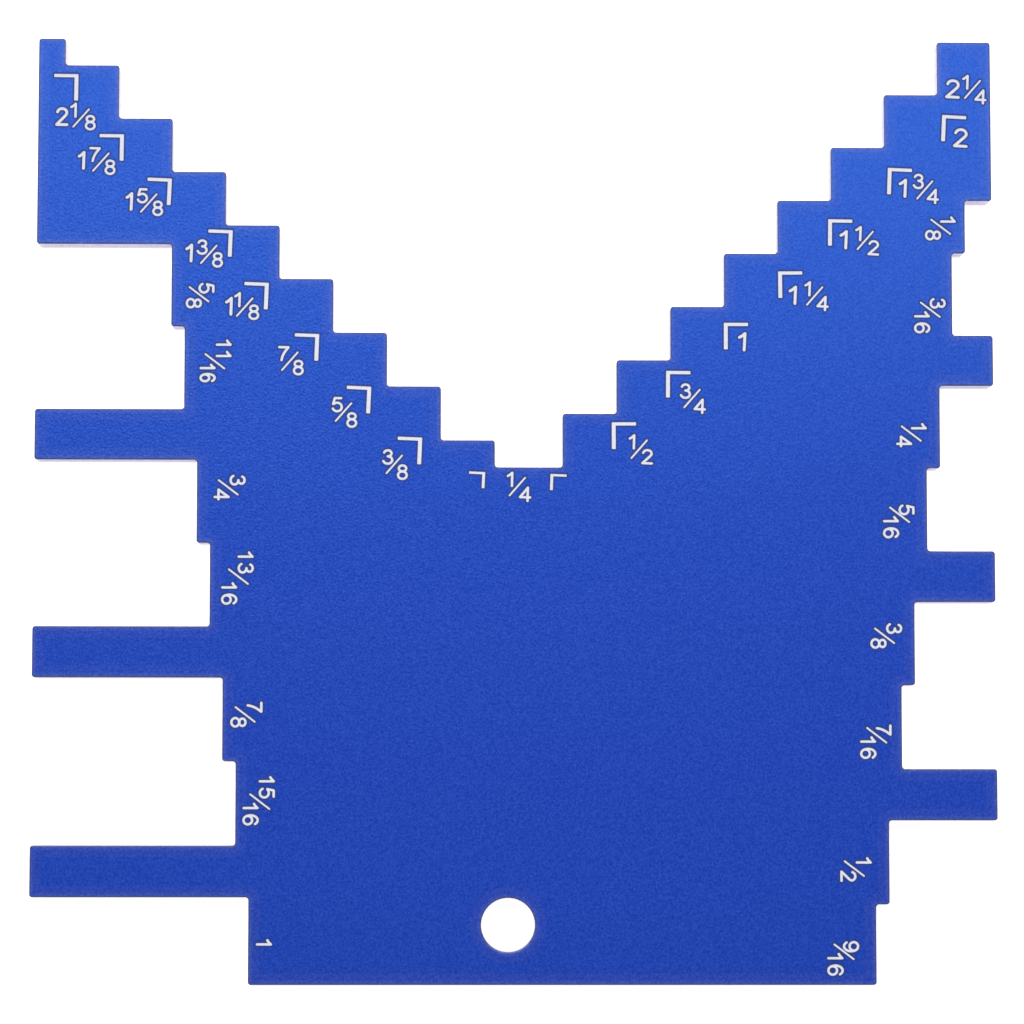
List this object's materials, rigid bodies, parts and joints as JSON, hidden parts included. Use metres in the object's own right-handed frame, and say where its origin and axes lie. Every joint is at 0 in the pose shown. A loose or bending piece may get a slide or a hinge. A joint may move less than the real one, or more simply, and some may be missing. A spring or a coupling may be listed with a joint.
{
  "type": "table saw height gauge",
  "caption": "Flat plate gauge with a stepped V for a blade or cutter, graded side recesses between square fingers, and a hole for hanging.",
  "frame": {"origin": "middle of the plate's outline, on its back face", "axes": "+Z out of the marked face, +Y towards the open end of the V, +X towards the right-hand stair, which reads even quarters of an inch"},
  "size_m": [0.1128, 0.1112, 0.003],
  "materials": {
    "blue_coated_aluminium": "satin"
  },
  "bodies": {
    "root": {"gauge_plate": "blue_coated_aluminium"}
  },
  "joints": []
}
